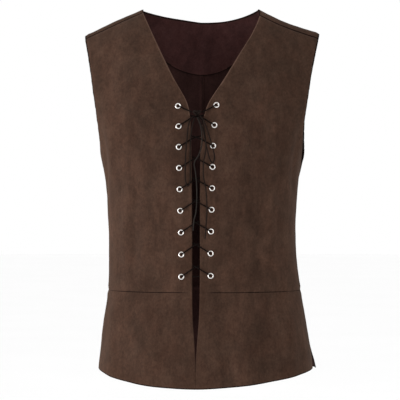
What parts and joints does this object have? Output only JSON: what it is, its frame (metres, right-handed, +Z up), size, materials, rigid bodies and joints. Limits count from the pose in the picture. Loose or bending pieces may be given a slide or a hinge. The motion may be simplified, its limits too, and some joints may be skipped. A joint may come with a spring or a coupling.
{
  "type": "laced costume waistcoat",
  "caption": "Sleeveless V-neck suede-look waistcoat with a laced front opening, a waist seam and a flared peplum, filled out as if worn",
  "frame": {"origin": "between the two points where the shoulder seams meet the neck, at the height of the shoulders that hold the garment up", "axes": "+Z up, the front faces -Y, +X is the wearer's left"},
  "size_m": [0.4345, 0.2544, 0.689],
  "materials": {
    "suede": "dark brown faux suede, matt, short nap with lighter and darker brushed patches",
    "facing": "smooth dark brown inner face of the same cloth",
    "eyelets": "bright nickel plate",
    "lace": "very dark brown round braided lace"
  },
  "bodies": {
    "root": {"front_left": "suede", "front_right": "suede", "back_left": "suede", "back_right": "suede", "peplum_front_left": "suede", "peplum_front_right": "suede", "peplum_back": "suede", "back_neck_facing": "facing", "eyelet_left_1": "eyelets", "eyelet_left_2": "eyelets", "eyelet_left_3": "eyelets", "eyelet_left_4": "eyelets", "eyelet_left_5": "eyelets", "eyelet_left_6": "eyelets", "eyelet_left_7": "eyelets", "eyelet_left_8": "eyelets", "eyelet_left_9": "eyelets", "eyelet_right_1": "eyelets", "eyelet_right_2": "eyelets", "eyelet_right_3": "eyelets", "eyelet_right_4": "eyelets", "eyelet_right_5": "eyelets", "eyelet_right_6": "eyelets", "eyelet_right_7": "eyelets", "eyelet_right_8": "eyelets", "eyelet_right_9": "eyelets", "lace_run_left": "lace", "lace_run_right": "lace", "lace_knot": "lace", "lace_loop_left": "lace", "lace_loop_right": "lace", "lace_end_left": "lace", "lace_end_right": "lace"}
  },
  "joints": []
}
